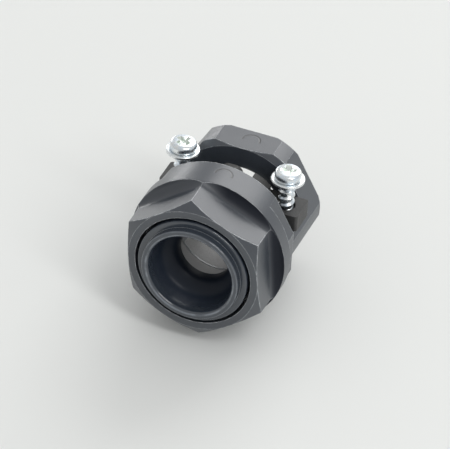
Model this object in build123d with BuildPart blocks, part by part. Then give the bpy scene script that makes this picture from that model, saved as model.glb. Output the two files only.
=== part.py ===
from build123d import *

import os
from math import cos, radians, sin, tan

# Conduit fitting with a bell-mouth gland bush at the front and a two-screw clamp behind it.
# The bore axis is Y: the bush faces -Y and the conduit enters from +Y. The clamp screws stand along +Z.
# The origin is on the bore axis, in the plane of the body's front face. Sizes are millimetres.

os.makedirs("parts", exist_ok=True)

# Body, front to back
FLANGE_R = 20.8
FRONT_HEX_AF = 35.0
FRONT_HEX_TURN = 6.2  # how far the front hexagon's top corner stands to the left
CORNER_SLOPE = 33.6  # conical chamfer on the hexagons' corners, degrees
COVE_R = 2.6  # hollow corner where each flat meets the flange
FLANGE_Y = 10.2
FACET_Y = 14.4  # behind this the round flange has flat slanted sides
FACET_DISTANCE = 19.9
FRONT_WALL_X = 19.7
FRONT_WALL_BACK_Y = 18.6
REAR_WALL_Y = 31.3
BODY_BACK_Y = 39.6
REAR_HEX_AF = 35.2
REAR_CORNER_R = 19.3  # the rear hexagon's corners are turned down to this radius
BACK_EDGE_R = 18.7  # and sloped to this radius at the back
BACK_EDGE_Y = 38.9
RIM_Z = 3.3  # top of the side walls, between the front and rear walls
CONE_REACH = 7.0  # width of the cone that slopes the corners, wide enough to clear them
WALL_OVERLAP = 2.0  # how far the cradle runs into the rear wall
CUT_MARGIN = 1.0  # how far a cut starts outside the material

# Bore, front to back
COUNTERBORE_R = 15.6
COUNTERBORE_Y = 6.4
GLAND_R = 13.3
SHOULDER_Y = 18.0
BORE_R = 11.35
LEAD_IN = 0.5  # chamfer where the bore enters the rear wall from the slot
PAD_POCKET_R = 13.3
PAD_TOP_Z = -6.5
PAD_INSET = 0.1

# Gland bush, slip ring and packing
BUSH_LIP_Y = -2.4
BUSH_RING_Y = -0.4
BUSH_HEAD_BACK_Y = 3.2
BUSH_BACK_Y = 9.4
BUSH_HEAD_R = 14.8
BUSH_SPIGOT_R = 13.22
LIP_R = 13.1
LIP_ROUND = 0.5
MOUTH_ROUND = 1.1
HEAD_ROUND = 0.4
MOUTH_R = 11.4
BELL_R = 10.0
BELL_Y = 4.4
MOUTH_FLARE = 0.35  # outward slope of the bell at the mouth
THROAT_R = 6.9
THROAT_Y = 8.2
SLIP_RING_T = 0.9
SLIP_RING_R = 11.4
PACKING_R = 11.4
RING_GAP = 0.1
STACK_GAP = 0.05

# Clamp
CLAMP_FRONT_Y = 22.5
CLAMP_BACK_Y = 31.0
CROWN_BACK_Y = 27.4
EAR_X = 18.9
EAR_TOP_Z = 7.8
EAR_ROUND = 0.8
CROWN_IN_R = 10.4
CROWN_OUT_R = 15.2
NOTCH_X = 5.2  # half the width of the flat notch across the crown
NOTCH_Z = 12.4
BOSS_R = 2.0  # rounding of the boss on the crown
BOSS_X = -0.9
BOSS_LENGTH = 5.8
BOSS_TOP_Z = 15.0
SEAT_GAP = 0.05

# Screws and washers
SCREW_X = 14.3
SCREW_Y = 26.6
SCREW_LENGTH = 16.0
THREAD_R = 2.15
THREAD_CORE_R = 1.6
THREAD_PITCH = 2.0
RIDGE_HALF = 0.45
CREST_HALF = 0.08
POINT_R = 1.2
POINT_LENGTH = 1.2
PILOT_R = 2.23
PILOT_FLOOR_Z = -5.6
CLAMP_HOLE_R = 2.45
WASHER_Z = 15.4
WASHER_R = 4.4
WASHER_HOLE_R = 2.2
WASHER_T = 0.8
WASHER_CHAMFER = 0.15
WASHER_SEAT_R = 4.7
HEAD_R = 3.5
HEAD_H = 2.5
HEAD_SIDE_H = 1.25
HEAD_CROWN_R = 2.17
HEAD_CROWN_H = 2.37
RECESS_SPAN = 3.8
RECESS_WIDTH = 0.75
RECESS_DEPTH = 1.5


def across(y):
    """A plane square to the bore at y, with its own x along +X and its own y along +Z."""
    return Plane.XZ.offset(-y)


def along(angle):
    """A plane through the bore axis whose own x points outward at this angle from +X towards +Z."""
    turn = radians(angle)
    outward = (cos(turn), 0, sin(turn))
    return Plane(origin=(0, 0, 0), x_dir=outward, z_dir=(-sin(turn), 0, cos(turn)))


def corner_cone(inner, y):
    """Half section of the cut that slopes a hexagon's corners back from a front face at y."""
    outer = inner + CONE_REACH
    foot = y + CONE_REACH * tan(radians(CORNER_SLOPE))
    start = y - CUT_MARGIN
    Polygon((inner, start), (inner, y), (outer, foot), (outer, start), align=None)


def rear_section():
    """Section of the rear hexagon, with its corners turned down."""
    RegularPolygon(REAR_HEX_AF / 2, 6, major_radius=False)
    Circle(REAR_CORNER_R, mode=Mode.INTERSECT)


def pad_section(outer, top):
    """Section of the clamp pad or its pocket: a ring's bottom, from the bore out to this radius."""
    Circle(outer)
    Circle(BORE_R, mode=Mode.SUBTRACT)
    with Locations((0, top - outer)):
        Rectangle(2 * outer, 2 * outer, mode=Mode.INTERSECT)


def finish(piece, name):
    """Name a finished piece and write it out."""
    piece.part.label = name
    export_step(piece.part, f"parts/{name}.step")


pad_front = FRONT_WALL_BACK_Y + PAD_INSET
pad_back = REAR_WALL_Y - PAD_INSET
screw_spots = [(-SCREW_X, SCREW_Y), (SCREW_X, SCREW_Y)]

# Body: one moulding with the front hexagon, flange, front wall, side walls and rear hexagonal wall
with BuildPart() as body:
    with BuildSketch(across(0)):
        Circle(FLANGE_R)
    extrude(amount=-FACET_Y)

    # Six flats in front of the flange, each ending in a cove
    flat = FRONT_HEX_AF / 2
    cove_y = FLANGE_Y - COVE_R
    cove_x = flat + COVE_R
    outside_x = flat + FLANGE_R / 2
    for side in range(6):
        with BuildSketch(along(FRONT_HEX_TURN + 60 * side)):
            with BuildLine():
                Line((flat, -CUT_MARGIN), (flat, cove_y))
                RadiusArc((flat, cove_y), (cove_x, FLANGE_Y), COVE_R)
                Polyline(
                    (cove_x, FLANGE_Y),
                    (outside_x, FLANGE_Y),
                    (outside_x, -CUT_MARGIN),
                    (flat, -CUT_MARGIN),
                )
            make_face()
        extrude(amount=FLANGE_R, both=True, mode=Mode.SUBTRACT)

    # Conical chamfer on the front hexagon's corners
    with BuildSketch(Plane.XY):
        corner_cone(flat, 0)
    revolve(axis=Axis.Y, mode=Mode.SUBTRACT)

    # Front wall: the flange's round, with slanted and upright flats
    with BuildSketch(across(FACET_Y)):
        Circle(FLANGE_R)
        Rectangle(2 * FRONT_WALL_X, 2 * FLANGE_R, mode=Mode.INTERSECT)
        for lean in (60, -60):
            with Locations(Rotation(0, 0, lean)):
                Rectangle(3 * FLANGE_R, 2 * FACET_DISTANCE, mode=Mode.INTERSECT)
    extrude(amount=-(FRONT_WALL_BACK_Y - FACET_Y))

    # Rear wall, with its corners sloped back
    with BuildSketch(across(REAR_WALL_Y)):
        rear_section()
    extrude(amount=-(BODY_BACK_Y - REAR_WALL_Y))
    with BuildSketch(Plane.XY):
        corner_cone(REAR_HEX_AF / 2, REAR_WALL_Y)
    revolve(axis=Axis.Y, mode=Mode.SUBTRACT)

    with BuildSketch(Plane.XY):
        Polygon(
            (REAR_CORNER_R, BACK_EDGE_Y),
            (FLANGE_R, BACK_EDGE_Y),
            (FLANGE_R, BODY_BACK_Y + CUT_MARGIN),
            (BACK_EDGE_R, BODY_BACK_Y + CUT_MARGIN),
            (BACK_EDGE_R, BODY_BACK_Y),
            align=None,
        )
    revolve(axis=Axis.Y, mode=Mode.SUBTRACT)

    # Cradle and side walls: the same prism below the rim, running forward to the front wall
    with BuildSketch(across(FRONT_WALL_BACK_Y)):
        rear_section()
        with Locations((0, RIM_Z - REAR_HEX_AF)):
            Rectangle(2 * REAR_HEX_AF, 2 * REAR_HEX_AF, mode=Mode.INTERSECT)
    extrude(amount=-(REAR_WALL_Y + WALL_OVERLAP - FRONT_WALL_BACK_Y))

    # Bore, turned from the front face to the back
    with BuildSketch(Plane.XY):
        Polygon(
            (0, -CUT_MARGIN),
            (COUNTERBORE_R, -CUT_MARGIN),
            (COUNTERBORE_R, COUNTERBORE_Y),
            (GLAND_R, COUNTERBORE_Y),
            (GLAND_R, SHOULDER_Y),
            (BORE_R, SHOULDER_Y),
            (BORE_R, BODY_BACK_Y + CUT_MARGIN),
            (0, BODY_BACK_Y + CUT_MARGIN),
            align=None,
        )
    revolve(axis=Axis.Y, mode=Mode.SUBTRACT)
    with BuildSketch(Plane.XY):
        Polygon(
            (0, REAR_WALL_Y - LEAD_IN),
            (BORE_R + LEAD_IN, REAR_WALL_Y - LEAD_IN),
            (BORE_R + LEAD_IN, REAR_WALL_Y),
            (BORE_R, REAR_WALL_Y + LEAD_IN),
            (0, REAR_WALL_Y + LEAD_IN),
            align=None,
        )
    revolve(axis=Axis.Y, mode=Mode.SUBTRACT)

    # Pocket for the clamp pad, sunk into the bottom of the cradle
    with BuildSketch(across(pad_front)):
        pad_section(PAD_POCKET_R, PAD_TOP_Z)
    extrude(amount=-(pad_back - pad_front), mode=Mode.SUBTRACT)

    # Screw holes down into the side walls
    with BuildSketch(Plane.XY.offset(RIM_Z)):
        with Locations(*screw_spots):
            Circle(PILOT_R)
    extrude(amount=PILOT_FLOOR_Z - RIM_Z, mode=Mode.SUBTRACT)
finish(body, "body")

# Gland bush: a stepped head with a rounded lip, a bell mouth down to the throat, and a spigot
with BuildPart() as bush:
    with BuildSketch(Plane.XY):
        with BuildLine():
            Polyline(
                (BUSH_HEAD_R, BUSH_RING_Y),
                (BUSH_HEAD_R, BUSH_HEAD_BACK_Y),
                (BUSH_SPIGOT_R, BUSH_HEAD_BACK_Y),
                (BUSH_SPIGOT_R, BUSH_BACK_Y),
                (THROAT_R, BUSH_BACK_Y),
                (THROAT_R, THROAT_Y),
            )
            Spline(
                (THROAT_R, THROAT_Y),
                (BELL_R, BELL_Y),
                (MOUTH_R, BUSH_LIP_Y),
                tangents=((0, -1), (MOUTH_FLARE, -1)),
            )
            Polyline(
                (MOUTH_R, BUSH_LIP_Y),
                (LIP_R, BUSH_LIP_Y),
                (LIP_R, BUSH_RING_Y),
                (BUSH_HEAD_R, BUSH_RING_Y),
            )
        make_face()
    revolve(axis=Axis.Y)
    round_edges = bush.edges().filter_by(GeomType.CIRCLE)
    lip_edges = round_edges.filter_by_position(Axis.Y, BUSH_LIP_Y, BUSH_LIP_Y).group_by(SortBy.RADIUS)
    fillet(lip_edges[0], MOUTH_ROUND)
    fillet(lip_edges[-1], LIP_ROUND)
    rim_edges = bush.edges().filter_by(GeomType.CIRCLE).group_by(SortBy.RADIUS)[-1]
    fillet(rim_edges.group_by(Axis.Y)[0], HEAD_ROUND)
finish(bush, "gland_bush")


def ring(inner, outer, front, back):
    """A plain ring about the bore axis."""
    with BuildPart() as piece:
        with BuildSketch(across(front)):
            Circle(outer)
            Circle(inner, mode=Mode.SUBTRACT)
        extrude(amount=-(back - front))
    return piece


# Slip ring and rubber packing, stacked in the gland behind the bush
slip_front = BUSH_BACK_Y + STACK_GAP
slip_back = slip_front + SLIP_RING_T
slip_ring = ring(SLIP_RING_R, GLAND_R - RING_GAP, slip_front, slip_back)
finish(slip_ring, "slip_ring")

packing = ring(PACKING_R, GLAND_R - STACK_GAP, slip_back + STACK_GAP, SHOULDER_Y - STACK_GAP)
finish(packing, "packing_ring")

# Clamp pad: a curved strip lying in the bottom of the cradle, under the conduit
with BuildPart() as clamp_pad:
    with BuildSketch(across(pad_front + STACK_GAP)):
        pad_section(PAD_POCKET_R - STACK_GAP, PAD_TOP_Z - STACK_GAP)
    extrude(amount=-(pad_back - pad_front - 2 * STACK_GAP))
finish(clamp_pad, "clamp_pad")

# Upper clamp: two ears on the side walls, joined by a narrower arch with a boss on its crown
with BuildPart() as upper_clamp:
    ear_z = RIM_Z + SEAT_GAP
    with BuildSketch(across(CLAMP_FRONT_Y)):
        with Locations((0, (ear_z + EAR_TOP_Z) / 2)):
            Rectangle(2 * EAR_X, EAR_TOP_Z - ear_z)
        Circle(CROWN_IN_R, mode=Mode.SUBTRACT)
    extrude(amount=-(CLAMP_BACK_Y - CLAMP_FRONT_Y))
    with BuildSketch(across(CLAMP_FRONT_Y)):
        Circle(CROWN_OUT_R)
        with Locations((0, ear_z + CROWN_OUT_R)):
            Rectangle(2 * CROWN_OUT_R, 2 * CROWN_OUT_R, mode=Mode.INTERSECT)
        with Locations((0, NOTCH_Z + CROWN_OUT_R)):
            Rectangle(2 * NOTCH_X, 2 * CROWN_OUT_R, mode=Mode.SUBTRACT)
        with Locations((BOSS_X, BOSS_TOP_Z - BOSS_R)):
            SlotOverall(BOSS_LENGTH, 2 * BOSS_R)
        Circle(CROWN_IN_R, mode=Mode.SUBTRACT)
    extrude(amount=-(CROWN_BACK_Y - CLAMP_FRONT_Y))

    # Room round each screw for its washer, and the hole through each ear
    with BuildSketch(Plane.XY.offset(EAR_TOP_Z)):
        with Locations(*screw_spots):
            Circle(WASHER_SEAT_R)
    extrude(amount=CROWN_OUT_R, mode=Mode.SUBTRACT)
    with BuildSketch(Plane.XY.offset(ear_z)):
        with Locations(*screw_spots):
            Circle(CLAMP_HOLE_R)
    extrude(amount=EAR_TOP_Z - ear_z, mode=Mode.SUBTRACT)
    corner_edges = upper_clamp.edges().filter_by(Axis.Z).group_by(Axis.X)
    fillet(corner_edges[0] + corner_edges[-1], EAR_ROUND)
finish(upper_clamp, "upper_clamp")


def washer(x):
    """Flat washer under a screw's head."""
    with BuildPart() as piece:
        with BuildSketch(Plane.XY.offset(WASHER_Z)):
            with Locations((x, SCREW_Y)):
                Circle(WASHER_R)
                Circle(WASHER_HOLE_R, mode=Mode.SUBTRACT)
        extrude(amount=WASHER_T)
        chamfer(piece.edges().filter_by(GeomType.CIRCLE).group_by(SortBy.RADIUS)[-1], WASHER_CHAMFER)
    return piece


def screw(x):
    """Pan-head screw with a cross recess and a coarse ridged shank."""
    under_head = WASHER_Z + WASHER_T + STACK_GAP
    tip = under_head - SCREW_LENGTH
    crown = under_head + HEAD_H
    side_top = (HEAD_R, under_head + HEAD_SIDE_H)
    shoulder = (HEAD_CROWN_R, under_head + HEAD_CROWN_H)
    turned = Plane(origin=(x, SCREW_Y, 0), x_dir=(1, 0, 0), z_dir=(0, -1, 0))
    outline = [(0, crown), (0, tip), (POINT_R, tip), (THREAD_CORE_R, tip + POINT_LENGTH)]
    crest = tip + THREAD_PITCH
    while crest + THREAD_PITCH / 2 < under_head:
        outline.append((THREAD_CORE_R, crest - RIDGE_HALF))
        outline.append((THREAD_R, crest - CREST_HALF))
        outline.append((THREAD_R, crest + CREST_HALF))
        outline.append((THREAD_CORE_R, crest + RIDGE_HALF))
        crest += THREAD_PITCH
    outline.append((THREAD_CORE_R, under_head))
    outline.append((HEAD_R, under_head))
    outline.append(side_top)
    with BuildPart() as piece:
        with BuildSketch(turned):
            with BuildLine():
                Polyline(*outline)
                TangentArc(side_top, shoulder, tangent=(0, 1))
                Line(shoulder, (0, crown))
            make_face()
        revolve(axis=Axis((x, SCREW_Y, 0), (0, 0, 1)))
        with BuildSketch(Plane.XY.offset(crown)):
            with Locations((x, SCREW_Y)):
                Rectangle(RECESS_SPAN, RECESS_WIDTH)
                Rectangle(RECESS_WIDTH, RECESS_SPAN)
        extrude(amount=-RECESS_DEPTH, mode=Mode.SUBTRACT)
    return piece


for side_name, side_x in (("left", -SCREW_X), ("right", SCREW_X)):
    finish(washer(side_x), f"{side_name}_washer")
    finish(screw(side_x), f"{side_name}_screw")
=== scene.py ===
import math
import bmesh
import bpy
from mathutils import Matrix, Vector


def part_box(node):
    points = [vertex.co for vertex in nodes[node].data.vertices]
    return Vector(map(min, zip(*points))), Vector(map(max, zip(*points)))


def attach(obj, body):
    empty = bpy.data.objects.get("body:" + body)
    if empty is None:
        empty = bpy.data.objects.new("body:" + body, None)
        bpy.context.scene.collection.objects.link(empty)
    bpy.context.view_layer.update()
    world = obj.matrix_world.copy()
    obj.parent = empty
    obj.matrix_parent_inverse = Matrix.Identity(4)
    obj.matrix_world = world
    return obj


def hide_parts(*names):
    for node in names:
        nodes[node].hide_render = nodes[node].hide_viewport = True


# Conduit fitting: looks for the CAD pieces, detailed screws and washers, a pale floor, camera and lights.
# The bore axis is Y and the screws stand along Z. Lengths are millimetres, and MM turns them into metres.

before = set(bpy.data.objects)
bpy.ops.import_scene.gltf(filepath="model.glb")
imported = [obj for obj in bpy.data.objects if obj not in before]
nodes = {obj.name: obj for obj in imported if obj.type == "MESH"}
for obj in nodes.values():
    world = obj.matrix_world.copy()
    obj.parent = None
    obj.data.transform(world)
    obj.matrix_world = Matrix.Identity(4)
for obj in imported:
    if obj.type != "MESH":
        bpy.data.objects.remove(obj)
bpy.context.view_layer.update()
MM = 0.001

# Places on the body
# Painted shade darkens the coves in front of the flange, starting at the first of these two and full at the
# second.
COVE_SHADE_START_Y = 7.4
COVE_SHADE_FULL_Y = 9.8
FLANGE_FACE_Y = 10.24  # just past the face that the coves end in
FLANGE_R = 20.8
FLANGE_BACK_Y = 18.6
BODY_BACK_Y = 39.6
REAR_FLAT_Z = -17.6
FRONT_MARK = {"cx": 1.3, "cy": 14.7, "radius": 2.2, "low_z": 17.5}
REAR_MARK = {"cx": 0.6, "cy": 35.6, "radius": 2.3, "low_z": 15.5}

# Places on the bush
# radii of the painted highlight lines at the mouth's and the lip's rounded edges
MOUTH_HIGHLIGHT_R = 11.85
LIP_HIGHLIGHT_R = 12.9
LIP_HIGHLIGHTS_BACK_Y = -1.2  # the painted highlight lines on the lip are only in front of this
SEAM_BACK_Y = 3.3  # just past the back of the bush's head

# Colours, dark first
BODY_DARK = (0.034, 0.041, 0.053)
BODY_LIGHT = (0.043, 0.051, 0.064)
BODY_GRAIN = (0.062, 0.072, 0.088)
# painted highlight colour for the body's edges
BODY_EDGE_HIGHLIGHT = (0.700, 0.730, 0.760)
# painted shade colour for the coves
BODY_COVE_SHADE = (0.012, 0.014, 0.021)
# painted shadow colour for the back rims of the moulding marks
BODY_MARK_SHADE = (0.010, 0.012, 0.014)
# painted shade colour deep in the bush's bore
BUSH_BORE_SHADE = (0.006, 0.009, 0.016)
BUSH_DARK = (0.016, 0.023, 0.037)
BUSH_LIGHT = (0.024, 0.032, 0.048)
BUSH_SPECK = (0.032, 0.041, 0.055)
BUSH_FACE = (0.038, 0.047, 0.061)
BUSH_SEAM = (0.060, 0.070, 0.080)
# painted highlight colour for the lines on the bush's lip
BUSH_LIP_HIGHLIGHT = (0.220, 0.245, 0.280)
# painted highlight colour for the bush's edges
BUSH_EDGE_HIGHLIGHT = (0.240, 0.260, 0.285)
CLAMP_DARK = (0.036, 0.036, 0.036)
CLAMP_LIGHT = (0.062, 0.062, 0.062)
PAD_DARK = (0.30, 0.30, 0.30)
PAD_LIGHT = (0.37, 0.37, 0.37)
PACKING_DARK = (0.29, 0.29, 0.29)
PACKING_LIGHT = (0.36, 0.36, 0.36)
STEEL_DARK = (0.42, 0.43, 0.44)
STEEL_LIGHT = (0.58, 0.59, 0.60)
ZINC_SPECK = (0.55, 0.58, 0.60)
ZINC_PLAIN = (0.86, 0.88, 0.88)
ZINC_EDGE = (0.96, 0.97, 0.97)
SCREW_TINT = (0.72, 0.80, 0.88)
WASHER_TINT = (0.80, 0.84, 0.86)
RECESS_TINT = (0.66, 0.74, 0.66)
FLOOR_DARK = (0.790, 0.800, 0.785)
FLOOR_LIGHT = (0.815, 0.825, 0.812)

# Shine
BODY_ROUGH = 0.31
BODY_SPECULAR = 1.0
COVE_SPECULAR = 0.1
BUSH_SPECULAR = 1.0
DEEP_SPECULAR = 0.2

# Screw
PITCH = 2.0
CORE_R = 1.58
CREST_R = 2.13
RIDGE_FOOT = 0.62  # half the ridge's width at its foot
RIDGE_SLOPE = 0.54  # and how much of that is its sloping side
POINT_R = 1.15
POINT_LENGTH = 1.4
THREAD_START = 0.3  # from the tip to the thread's start, and how far it takes to grow
THREAD_GROWTH = 1.6
THREAD_STOP = 1.3  # from the head to the thread's end, and how far it takes to fade
THREAD_FADE = 1.2
SHANK_STEPS = 56
SHANK_ROWS = 190
HEAD_HEIGHT = 2.47
HEAD_R = 3.49
FOOT_ROUND = 0.26
CROWN_ROUND = 1.1
RECESS_TURNS = (62, 18)  # how far the left and the right cross are turned, in degrees

# Washer
WASHER_BORE_R = 2.21
WASHER_R = 4.39
WASHER_ROUND = 0.32

# Camera: turned from straight in front, raised and rolled, in degrees
CAMERA_TURN = 19.493
CAMERA_RISE = 36.2614
CAMERA_ROLL = 4.0232
CAMERA_DISTANCE = 1545.1
CAMERA_AIM = (0.128, 21.616, 0.170)
CAMERA_LENS = 487.3

# Lights and floor: the lights' distances and sizes and the floor's half width are metres
LIGHT_AIM_Y = 20.0
BACK_LIGHT = {"toward": (0.10, 0.79, 0.60), "distance": 1.5, "size": 1.2, "watts": 10.5}
LEFT_LIGHT = {"toward": (-0.72, 0.69, -0.02), "distance": 1.5, "size": 0.7, "watts": 9.0}
FRONT_STRIP = {"toward": (0.576, -0.404, 0.712), "distance": 1.3, "size": 0.16, "watts": 4.6, "length": 0.8}
STRIP_ALONG = (-1.006, -0.09, 0.807)
SKY_COLOR = (0.985, 0.99, 0.985, 1.0)
SKY_BRIGHT_SIDE = (0.0, 0.75, 0.66)
SKY_LOW = 0.55
SKY_HIGH = 0.68
FLOOR_HALF = 3.0
FLOOR_GAP = 0.05  # millimetres under the fitting's feet


# ---------------------------------------------------------------- node helpers
class Graph:
    """A material's node tree, with short calls for the nodes used here."""

    def __init__(self, name):
        self.mat = bpy.data.materials.new(name)
        self.mat.use_nodes = True
        self.tree = self.mat.node_tree
        self.tree.nodes.clear()
        self.out = self.tree.nodes.new("ShaderNodeOutputMaterial")
        self.shader = self.tree.nodes.new("ShaderNodeBsdfPrincipled")
        self.link(self.shader.outputs[0], self.out.inputs[0])
        coord = self.tree.nodes.new("ShaderNodeTexCoord")
        scale = self.tree.nodes.new("ShaderNodeVectorMath")
        scale.operation = "SCALE"
        scale.inputs["Scale"].default_value = 1000.0
        self.link(coord.outputs["Object"], scale.inputs[0])
        self.place = scale.outputs[0]  # position in millimetres

    def link(self, a, b):
        """Join an output to a socket."""
        self.tree.links.new(a, b)

    def put(self, value, socket):
        """Link an output, or set a plain value."""
        if isinstance(value, bpy.types.NodeSocket):
            self.link(value, socket)
        else:
            socket.default_value = value

    def noise(self, scale, detail=4.0, rough=0.55, warp=None, stretch=None):
        """Noise of about 1/scale millimetres, from 0 to 1."""
        n = self.tree.nodes.new("ShaderNodeTexNoise")
        n.inputs["Scale"].default_value = scale
        n.inputs["Detail"].default_value = detail
        n.inputs["Roughness"].default_value = rough
        if warp:
            n.inputs["Distortion"].default_value = warp
        source = self.place
        if stretch:
            m = self.tree.nodes.new("ShaderNodeMapping")
            m.inputs["Scale"].default_value = stretch
            self.link(self.place, m.inputs["Vector"])
            source = m.outputs[0]
        self.link(source, n.inputs["Vector"])
        return n.outputs["Fac"]

    def cells(self, scale):
        """Distance from the nearest of points about 1/scale millimetres apart."""
        n = self.tree.nodes.new("ShaderNodeTexVoronoi")
        n.inputs["Scale"].default_value = scale
        self.link(self.place, n.inputs["Vector"])
        return n.outputs["Distance"]

    def math(self, kind, a, b=0.0, clamp=False):
        """One arithmetic step on two values."""
        n = self.tree.nodes.new("ShaderNodeMath")
        n.operation = kind
        n.use_clamp = clamp
        for value, socket in zip((a, b), n.inputs):
            self.put(value, socket)
        return n.outputs[0]

    def span(self, value, a, b, c, d, smooth=False):
        """Map a value from a..b to c..d."""
        n = self.tree.nodes.new("ShaderNodeMapRange")
        n.interpolation_type = "SMOOTHSTEP" if smooth else "LINEAR"
        self.put(value, n.inputs["Value"])
        for key, number in (("From Min", a), ("From Max", b), ("To Min", c), ("To Max", d)):
            n.inputs[key].default_value = number
        return n.outputs["Result"]

    def blend(self, fac, a, b):
        """Colour a where fac is 0, b where it is 1."""
        n = self.tree.nodes.new("ShaderNodeMix")
        n.data_type = "RGBA"
        self.put(fac, n.inputs[0])
        self.put(a if isinstance(a, bpy.types.NodeSocket) else (*a, 1.0), n.inputs[6])
        self.put(b if isinstance(b, bpy.types.NodeSocket) else (*b, 1.0), n.inputs[7])
        return n.outputs[2]

    def length(self, a, b):
        """Length of a line with these two sides at right angles."""
        return self.math("SQRT", self.math("ADD", self.math("MULTIPLY", a, a), self.math("MULTIPLY", b, b)))

    def band(self, value, middle, full, none, top=1.0):
        """Mask of a line where value is near middle: top within full of it, fading to 0 at none."""
        off = self.math("ABSOLUTE", self.math("SUBTRACT", value, middle))
        return self.span(off, full, none, top, 0.0, True)

    def split(self, vector):
        """A vector's three parts."""
        n = self.tree.nodes.new("ShaderNodeSeparateXYZ")
        self.link(vector, n.inputs[0])
        return n.outputs[0], n.outputs[1], n.outputs[2]

    def rounded(self, radius_mm):
        """Normal of the surface with its edges rounded, and a mask that is 1 at the edges."""
        bevel = self.tree.nodes.new("ShaderNodeBevel")
        bevel.samples = 6
        bevel.inputs["Radius"].default_value = radius_mm * MM
        plain = self.tree.nodes.new("ShaderNodeNewGeometry")
        dot = self.tree.nodes.new("ShaderNodeVectorMath")
        dot.operation = "DOT_PRODUCT"
        self.link(bevel.outputs[0], dot.inputs[0])
        self.link(plain.outputs["Normal"], dot.inputs[1])
        return bevel.outputs[0], self.span(dot.outputs["Value"], 0.998, 0.93, 0.0, 1.0, True)

    def bump(self, height, strength, depth_mm, normal=None):
        """Normal for a surface with this height over it."""
        n = self.tree.nodes.new("ShaderNodeBump")
        n.inputs["Strength"].default_value = strength
        n.inputs["Distance"].default_value = depth_mm * MM
        self.link(height, n.inputs["Height"])
        if normal is not None:
            self.link(normal, n.inputs["Normal"])
        return n.outputs[0]

    def finish(self, color, rough, normal, **sockets):
        """Feed the shader and hand over the material."""
        s = self.shader.inputs
        self.put(color, s["Base Color"])
        self.put(rough, s["Roughness"])
        self.link(normal, s["Normal"])
        for key, number in sockets.items():
            s[key.replace("_", " ")].default_value = number
        return self.mat


def half_ring(g, cx, cy, radius, low_z):
    """Mask of the back half of a thin round moulding-mark rim, open to the front, on upward faces above
    low_z: painted shadow where the far rim is shaded.
    """
    x, y, z = g.split(g.place)
    dx = g.math("SUBTRACT", x, cx)
    dy = g.math("SUBTRACT", y, cy)
    line = g.band(g.length(dx, dy), radius, 0.12, 0.30)
    back = g.math("GREATER_THAN", dy, -0.35)
    high = g.math("GREATER_THAN", z, low_z)
    return g.math("MULTIPLY", line, g.math("MULTIPLY", back, high))


# ---------------------------------------------------------------- materials
def moulded_body():
    """Grained grey moulding: paler patchy edges that are painted highlights, coves darkened with painted
    shade, and two moulding marks with painted shadow on their back rims.
    """
    g = Graph("moulded_body")
    cloud = g.noise(0.09, 3.0)
    grain = g.noise(2.6, 6.0, 0.62)
    speck = g.noise(9.0, 3.0, 0.7)
    normal, edge = g.rounded(0.3)
    base = g.blend(g.span(cloud, 0.3, 0.7, 0.0, 1.0), BODY_DARK, BODY_LIGHT)
    base = g.blend(g.span(grain, 0.35, 0.7, 0.0, 0.3), base, BODY_GRAIN)
    # Paler patchy edges: a painted highlight where the rounded edges catch the light.
    edge_highlight = g.math("MULTIPLY", edge, g.span(g.noise(0.8, 5.0), 0.35, 0.62, 0.25, 1.0))
    base = g.blend(edge_highlight, base, BODY_EDGE_HIGHLIGHT)
    x, y, _ = g.split(g.place)
    # Painted shade: the coves in front of the flange face are darkened and dulled, more on the right side.
    cove_shade = g.span(y, COVE_SHADE_START_Y, COVE_SHADE_FULL_Y, 0.0, 1.0, True)
    cove_shade = g.math("MULTIPLY", cove_shade, g.math("LESS_THAN", y, FLANGE_FACE_Y))
    cove_shade = g.math("MULTIPLY", cove_shade, g.span(x, -2.0, 5.0, 0.25, 0.9, True))
    base = g.blend(cove_shade, base, BODY_COVE_SHADE)
    # Moulding marks: the dent is real, and the dark back half of each rim is painted shadow.
    marks_and_shade = g.math("ADD", half_ring(g, **FRONT_MARK), half_ring(g, **REAR_MARK), clamp=True)
    base = g.blend(marks_and_shade, base, BODY_MARK_SHADE)
    height = g.math("ADD", g.math("MULTIPLY", grain, 0.7), g.math("MULTIPLY", speck, 0.5))
    height = g.math("SUBTRACT", height, g.math("MULTIPLY", marks_and_shade, 3.0))
    rough = g.span(grain, 0.25, 0.75, BODY_ROUGH - 0.05, BODY_ROUGH + 0.09)
    rough = g.math("SUBTRACT", rough, g.math("MULTIPLY", edge, 0.08))
    rough = g.math("ADD", rough, g.math("MULTIPLY", cove_shade, 0.35))
    g.put(g.span(cove_shade, 0.0, 1.0, BODY_SPECULAR, COVE_SPECULAR), g.shader.inputs["Specular IOR Level"])
    return g.finish(base, rough, g.bump(height, 0.35, 0.05, normal))


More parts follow.
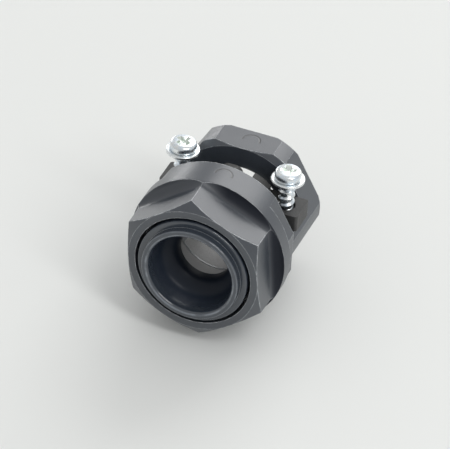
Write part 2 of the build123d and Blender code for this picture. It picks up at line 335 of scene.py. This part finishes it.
def glossy_bush():
    """Glossy dark blue plastic: paler face, paler edges and lip lines that are painted highlights, a
    moulding seam and a bore darkened with painted shade.
    """
    g = Graph("glossy_bush")
    cloud = g.noise(0.12, 3.0)
    fine = g.noise(1.4, 5.0, 0.6)
    turned = g.noise(1.0, 3.0, 0.5, stretch=(0.15, 2.4, 0.15))
    normal, edge = g.rounded(0.18)
    base = g.blend(g.span(cloud, 0.3, 0.7, 0.0, 1.0), BUSH_DARK, BUSH_LIGHT)
    base = g.blend(g.span(fine, 0.45, 0.75, 0.0, 0.3), base, BUSH_SPECK)
    x, y, z = g.split(g.place)
    face = g.span(y, -0.4, 0.8, 0.8, 0.0, True)
    base = g.blend(face, base, BUSH_FACE)
    # Paler edges: a painted highlight where the rounded edges catch the light.
    base = g.blend(g.math("MULTIPLY", edge, 0.7), base, BUSH_EDGE_HIGHLIGHT)
    seam = g.band(z, g.math("MULTIPLY", x, 0.02), 0.03, 0.11)
    seam = g.math("MULTIPLY", seam, g.math("LESS_THAN", y, SEAM_BACK_Y))
    base = g.blend(g.math("MULTIPLY", seam, 0.4), base, BUSH_SEAM)
    height = g.math("ADD", g.math("MULTIPLY", fine, 0.35), g.math("MULTIPLY", turned, 0.25))
    height = g.math("ADD", height, g.math("MULTIPLY", seam, 0.8))
    radius = g.length(x, z)
    # Thin pale lines at the mouth's and the lip's rounded edges: painted highlights, broken up by noise.
    inner_highlight = g.band(radius, MOUTH_HIGHLIGHT_R, 0.08, 0.34)
    outer_highlight = g.band(radius, LIP_HIGHLIGHT_R, 0.05, 0.2, 0.6)
    lip_highlights = g.math("MULTIPLY", g.math("ADD", inner_highlight, outer_highlight), g.math("LESS_THAN", y, LIP_HIGHLIGHTS_BACK_Y))
    lip_highlights = g.math("MULTIPLY", lip_highlights, g.span(g.noise(0.35, 3.0), 0.3, 0.65, 0.15, 0.75, True))
    base = g.blend(lip_highlights, base, BUSH_LIP_HIGHLIGHT)
    # Painted shade: the bore is darkened deeper in.
    bore_shade = g.span(y, 1.5, 6.0, 0.0, 0.75, True)
    base = g.blend(bore_shade, base, BUSH_BORE_SHADE)
    deep = g.span(y, -0.9, 1.0, 0.0, 0.3, True)
    rough = g.math("ADD", g.span(fine, 0.3, 0.75, 0.07, 0.13), deep)
    g.put(g.span(y, 0.5, 4.0, BUSH_SPECULAR, DEEP_SPECULAR, True), g.shader.inputs["Specular IOR Level"])
    return g.finish(base, rough, g.bump(height, 0.10, 0.02, normal))


def grey_clamp(name, low, high):
    """Coarse neutral grey moulding, between a low and a high grey, with paler edges that are painted
    highlights.
    """
    g = Graph(name)
    cloud = g.noise(0.16, 3.0)
    grain = g.noise(3.6, 6.0, 0.68)
    pits = g.cells(3.2)
    normal, edge = g.rounded(0.22)
    base = g.blend(g.span(cloud, 0.3, 0.7, 0.0, 1.0), low, high)
    base = g.blend(g.span(grain, 0.4, 0.75, 0.0, 0.55), base, tuple(0.45 * v for v in low))
    # Paler edges: a painted highlight where the rounded edges catch the light.
    base = g.blend(g.math("MULTIPLY", edge, 0.5), base, tuple(min(1.0, 1.7 * v) for v in high))
    height = g.math("ADD", grain, g.math("MULTIPLY", g.math("MINIMUM", pits, 0.35), 0.8))
    rough = g.span(grain, 0.3, 0.75, 0.46, 0.66)
    return g.finish(base, rough, g.bump(height, 0.5, 0.08, normal))


def bright_zinc(name, tint, finer):
    """Bright zinc plating with tinted patches and dull specks."""
    g = Graph(name)
    patch = g.noise(0.55 + finer, 4.0, 0.6, 0.6)
    fine = g.noise(5.0, 5.0, 0.65)
    streak = g.noise(1.6, 3.0, 0.5, stretch=(1.0, 1.0, 6.0))
    normal, edge = g.rounded(0.12)
    base = g.blend(g.span(patch, 0.35, 0.66, 0.0, 1.0, True), ZINC_PLAIN, tint)
    base = g.blend(g.span(fine, 0.52, 0.78, 0.0, 0.4), base, ZINC_SPECK)
    base = g.blend(g.math("MULTIPLY", edge, 0.4), base, ZINC_EDGE)
    rough = g.span(patch, 0.3, 0.7, 0.20, 0.36)
    height = g.math("ADD", g.math("MULTIPLY", fine, 0.5), g.math("MULTIPLY", streak, 0.3))
    return g.finish(base, rough, g.bump(height, 0.25, 0.03, normal), Metallic=1.0)


def steel_ring():
    """Plain turned steel."""
    g = Graph("slip_ring_steel")
    fine = g.noise(3.0, 5.0)
    turned = g.noise(1.2, 3.0, 0.5, stretch=(0.2, 4.0, 0.2))
    normal, _ = g.rounded(0.1)
    base = g.blend(fine, STEEL_DARK, STEEL_LIGHT)
    rough = g.span(turned, 0.3, 0.7, 0.28, 0.45)
    return g.finish(base, rough, g.bump(turned, 0.3, 0.02, normal), Metallic=1.0)


def soft_rubber():
    """Dull grey rubber."""
    g = Graph("packing_rubber")
    fine = g.noise(3.5, 5.0)
    cloud = g.noise(0.3, 3.0)
    normal, _ = g.rounded(0.2)
    base = g.blend(cloud, PACKING_DARK, PACKING_LIGHT)
    rough = g.span(fine, 0.3, 0.7, 0.62, 0.82)
    return g.finish(base, rough, g.bump(fine, 0.4, 0.05, normal))


def pale_floor():
    """Plain pale studio floor."""
    g = Graph("pale_floor")
    cloud = g.noise(0.004, 3.0)
    fine = g.noise(1.2, 3.0)
    base = g.blend(cloud, FLOOR_DARK, FLOOR_LIGHT)
    rough = g.span(fine, 0.3, 0.7, 0.66, 0.74)
    normal = g.bump(fine, 0.05, 0.02)
    return g.finish(base, rough, normal, Specular_IOR_Level=0.2)


body_mat = moulded_body()
bush_mat = glossy_bush()
clamp_mat = grey_clamp("grey_clamp", CLAMP_DARK, CLAMP_LIGHT)
pad_mat = grey_clamp("grey_pad", PAD_DARK, PAD_LIGHT)
screw_mat = bright_zinc("zinc_screw", SCREW_TINT, 0.0)
washer_mat = bright_zinc("zinc_washer", WASHER_TINT, 0.2)
recess_mat = bright_zinc("zinc_recess", RECESS_TINT, 0.4)
ring_mat = steel_ring()
rubber_mat = soft_rubber()
floor_mat = pale_floor()


def dress(node, material):
    """Give a CAD node this material alone."""
    mesh = nodes[node].data
    mesh.materials.clear()
    mesh.materials.append(material)


dress("body", body_mat)
dress("gland_bush", bush_mat)
dress("slip_ring", ring_mat)
dress("packing_ring", rubber_mat)
dress("clamp_pad", pad_mat)
dress("upper_clamp", clamp_mat)


# ---------------------------------------------------------------- screws and washers
def new_piece(name, bm, materials, smooth_angle=35):
    """Turn a bmesh into an object, smooth but for corners sharper than this angle."""
    mesh = bpy.data.meshes.new(name)
    bm.normal_update()
    bm.to_mesh(mesh)
    bm.free()
    for material in materials:
        mesh.materials.append(material)
    obj = bpy.data.objects.new(name, mesh)
    bpy.context.scene.collection.objects.link(obj)
    for polygon in mesh.polygons:
        polygon.use_smooth = True
    mesh.set_sharp_from_angle(angle=math.radians(smooth_angle))
    return obj


def lathe(bm, cx, cy, profile, steps=64, close=False):
    """Turn a list of (radius, z) about the vertical line at cx, cy. Ends on the axis are closed."""
    rings = []
    for r, z in profile:
        if r < 1e-6:
            rings.append([bm.verts.new((cx * MM, cy * MM, z * MM))])
            continue
        ring = []
        for i in range(steps):
            a = 2 * math.pi * i / steps
            px = cx + r * math.cos(a)
            py = cy + r * math.sin(a)
            ring.append(bm.verts.new((px * MM, py * MM, z * MM)))
        rings.append(ring)
    pairs = list(zip(rings, rings[1:]))
    if close:
        pairs.append((rings[-1], rings[0]))
    for low, high in pairs:
        for i in range(steps):
            j = (i + 1) % steps
            if len(low) == 1:
                bm.faces.new((low[0], high[j], high[i]))
            elif len(high) == 1:
                bm.faces.new((low[i], low[j], high[0]))
            else:
                bm.faces.new((low[i], low[j], high[j], high[i]))


def arc(cr, cz, radius, start, end, count=8):
    """Points of an arc in the (radius, z) plane, angles in degrees."""
    out = []
    for i in range(count + 1):
        a = math.radians(start + (end - start) * i / count)
        out.append((cr + radius * math.cos(a), cz + radius * math.sin(a)))
    return out


def grow(value):
    """The value held between 0 and 1."""
    return min(1.0, max(0.0, value))


def ridge_height(along, tallness):
    """Height of the thread this far from a crest, as part of its full height, repeating every pitch."""
    off_crest = abs((along + PITCH / 2) % PITCH - PITCH / 2)
    return tallness * grow((RIDGE_FOOT - off_crest) / RIDGE_SLOPE)


def shank_shape(name, shift, x, y, tip, under):
    """Threaded shank on the vertical line at x, y, from its tip up to under the head."""
    bm = bmesh.new()
    rows = []
    for k in range(SHANK_ROWS + 1):
        z = tip + (under - tip) * k / SHANK_ROWS
        core = min(CORE_R, POINT_R + (CORE_R - POINT_R) * (z - tip) / POINT_LENGTH)
        tallness = grow((z - tip - THREAD_START) / THREAD_GROWTH)
        tallness *= grow((under - THREAD_STOP - z) / THREAD_FADE)
        row = []
        for i in range(SHANK_STEPS):
            part = i / SHANK_STEPS
            angle = 2 * math.pi * part
            r = core + (CREST_R - CORE_R) * ridge_height(z - PITCH * part - shift, tallness)
            px = x + r * math.cos(angle)
            py = y + r * math.sin(angle)
            row.append(bm.verts.new((px * MM, py * MM, z * MM)))
        rows.append(row)
    for low, high in zip(rows, rows[1:]):
        for i in range(SHANK_STEPS):
            j = (i + 1) % SHANK_STEPS
            bm.faces.new((low[i], low[j], high[j], high[i]))
    bm.faces.new(list(reversed(rows[0])))
    bm.faces.new(rows[-1])
    return new_piece(name, bm, [screw_mat], 40)


def cross_cutter(name, turn, x, y, top):
    """Tapering cross, turned by this many degrees, that cuts the recess from the head's top."""
    bm = bmesh.new()
    levels = ((2.30, 1.00, 0.3), (2.05, 0.74, -0.1), (1.3, 0.52, -0.75), (0.6, 0.45, -1.0))
    outlines = []
    for reach, half, height in levels:
        outline = []
        for quarter in range(4):
            angle = math.radians(turn + 90 * quarter)
            for px, py in ((reach, -half), (reach, half), (half, half)):
                qx = x + px * math.cos(angle) - py * math.sin(angle)
                qy = y + px * math.sin(angle) + py * math.cos(angle)
                outline.append(bm.verts.new((qx * MM, qy * MM, (top + height) * MM)))
        outlines.append(outline)
    for upper, lower in zip(outlines, outlines[1:]):
        for i in range(len(upper)):
            j = (i + 1) % len(upper)
            bm.faces.new((upper[j], upper[i], lower[i], lower[j]))
    bm.faces.new(outlines[0])
    bm.faces.new(list(reversed(outlines[-1])))
    bmesh.ops.recalc_face_normals(bm, faces=bm.faces)
    return new_piece(name, bm, [recess_mat])


def head_shape(name, turn, x, y, under, top):
    """Domed pan head with a cross recess."""
    bm = bmesh.new()
    profile = [(0.0, under - 0.02), (2.9, under - 0.02)]
    profile += arc(HEAD_R - FOOT_ROUND, under + 0.25, FOOT_ROUND, -90, 0, 6)
    profile += [(HEAD_R, under + 1.1)]
    profile += arc(HEAD_R - CROWN_ROUND, under + 1.2, CROWN_ROUND, 0, 80, 12)
    profile += [(1.9, under + 2.40), (1.2, under + 2.45), (0.0, under + 2.46)]
    lathe(bm, x, y, profile, 72)
    head = new_piece(name, bm, [screw_mat, recess_mat], 40)

    cutter = cross_cutter(name + "_cutter", turn, x, y, top)
    knife = head.modifiers.new("recess", "BOOLEAN")
    knife.operation = "DIFFERENCE"
    knife.solver = "EXACT"
    knife.object = cutter
    apply_modifiers(head)
    bpy.data.objects.remove(cutter)
    head.data.set_sharp_from_angle(angle=math.radians(40))
    return head


def apply_modifiers(obj):
    """Make an object's modified shape its own mesh."""
    shape = bpy.data.meshes.new_from_object(obj.evaluated_get(bpy.context.evaluated_depsgraph_get()))
    obj.modifiers.clear()
    old = obj.data
    obj.data = shape
    bpy.data.meshes.remove(old)


def washer_shape(name, x, y, low, high):
    """One flat washer, rounded above by punching and with a small burr edge below."""
    bottom = low[2] / MM
    top = high[2] / MM
    bm = bmesh.new()
    profile = [(WASHER_BORE_R, bottom + 0.05), (WASHER_BORE_R + 0.09, bottom + 0.005)]
    profile += [(WASHER_R - 0.17, bottom + 0.005), (WASHER_R - 0.03, bottom + 0.12)]
    profile += [(WASHER_R - 0.005, bottom + 0.35)]
    profile += arc(WASHER_R - WASHER_ROUND, top - 0.325, WASHER_ROUND, 0, 90, 7)
    profile += [(WASHER_BORE_R + 0.21, top - 0.005), (WASHER_BORE_R + 0.07, top - 0.06)]
    profile += [(WASHER_BORE_R, top - 0.18)]
    lathe(bm, x, y, profile, 80, close=True)
    bmesh.ops.recalc_face_normals(bm, faces=bm.faces)
    return new_piece(name, bm, [washer_mat], 50)


for side, label in enumerate(("left", "right")):
    low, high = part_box(label + "_screw")
    cx = (low[0] + high[0]) / 2 / MM
    cy = (low[1] + high[1]) / 2 / MM
    tip = low[2] / MM
    top = high[2] / MM
    under = top - HEAD_HEIGHT
    shank = shank_shape(label + "_screw_head_shank", side, cx, cy, tip, under)
    head = head_shape(label + "_screw_head", RECESS_TURNS[side], cx, cy, under, top)
    for piece in (head, shank):
        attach(piece, label + "_screw")
        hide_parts(label + "_screw")
    low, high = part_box(label + "_washer")
    disc = washer_shape(label + "_flat_washer", cx, cy, low, high)
    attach(disc, label + "_carrier")
    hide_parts(label + "_washer")


# ---------------------------------------------------------------- floor, camera and light
# The fitting rests on the lowest back edges of its flange and its rear hexagon, so it leans back.
front_foot = Vector((0, FLANGE_BACK_Y, -FLANGE_R)) * MM
back_foot = Vector((0, BODY_BACK_Y, REAR_FLAT_Z)) * MM
lean = math.atan2(back_foot.z - front_foot.z, back_foot.y - front_foot.y)
ground_up = Vector((0, -math.sin(lean), math.cos(lean)))
floor_mesh = bpy.data.meshes.new("floor")
ground_right = Vector((FLOOR_HALF, 0, 0))
ground_back = Vector((0, math.cos(lean), math.sin(lean))) * FLOOR_HALF
middle = front_foot - ground_up * FLOOR_GAP * MM
corners = [middle + ground_right * u + ground_back * v for u, v in ((-1, -1), (1, -1), (1, 1), (-1, 1))]
floor_mesh.from_pydata([tuple(c) for c in corners], [], [(0, 1, 2, 3)])
floor_mesh.materials.append(floor_mat)
floor = bpy.data.objects.new("floor", floor_mesh)
bpy.context.scene.collection.objects.link(floor)

camera_data = bpy.data.cameras.new("camera")
camera_data.lens = CAMERA_LENS
camera_data.sensor_width = 36.0
camera_data.clip_start = 0.01
camera_data.clip_end = 20.0
camera = bpy.data.objects.new("camera", camera_data)
bpy.context.scene.collection.objects.link(camera)
swing = Matrix.Rotation(math.radians(CAMERA_TURN), 4, "Z")
tilt = Matrix.Rotation(math.radians(90 - CAMERA_RISE), 4, "X")
roll = Matrix.Rotation(math.radians(CAMERA_ROLL), 4, "Z")
aim = Matrix.Translation(Vector(CAMERA_AIM) * MM)
camera.matrix_world = aim @ swing @ tilt @ roll @ Matrix.Translation(Vector((0, 0, CAMERA_DISTANCE)) * MM)
bpy.context.scene.camera = camera


def soft_light(name, toward, distance, size, watts, along=(0, 0, 1), length=None):
    """Soft light this many metres from the object, facing it, its length laid along a direction."""
    data = bpy.data.lights.new(name, "AREA")
    data.shape = "RECTANGLE"
    data.size = size
    data.size_y = length or size
    data.energy = watts
    obj = bpy.data.objects.new(name, data)
    back = Vector(toward).normalized()
    side = Vector(along).cross(back).normalized()
    up = back.cross(side)
    turn = Matrix((side, up, back)).transposed().to_4x4()
    middle = Vector((0, LIGHT_AIM_Y, 0)) * MM
    obj.matrix_world = Matrix.Translation(middle + back * distance) @ turn
    bpy.context.scene.collection.objects.link(obj)


soft_light("back_sheet", **BACK_LIGHT)
soft_light("back_left", **LEFT_LIGHT)
soft_light("front_strip", along=STRIP_ALONG, **FRONT_STRIP)


# Surroundings: pale all round, a little brighter behind and above than in front
world = bpy.data.worlds.new("studio")
world.use_nodes = True
tree = world.node_tree
background = tree.nodes["Background"]
background.inputs["Color"].default_value = SKY_COLOR
direction = tree.nodes.new("ShaderNodeTexCoord")
toward_back = tree.nodes.new("ShaderNodeVectorMath")
toward_back.operation = "DOT_PRODUCT"
toward_back.inputs[1].default_value = SKY_BRIGHT_SIDE
level = tree.nodes.new("ShaderNodeMapRange")
level.inputs["From Min"].default_value = -0.9
level.inputs["From Max"].default_value = 0.9
level.inputs["To Min"].default_value = SKY_LOW
level.inputs["To Max"].default_value = SKY_HIGH
tree.links.new(direction.outputs["Generated"], toward_back.inputs[0])
tree.links.new(toward_back.outputs["Value"], level.inputs["Value"])
tree.links.new(level.outputs["Result"], background.inputs["Strength"])
bpy.context.scene.world = world
bpy.context.scene.view_settings.view_transform = "Standard"
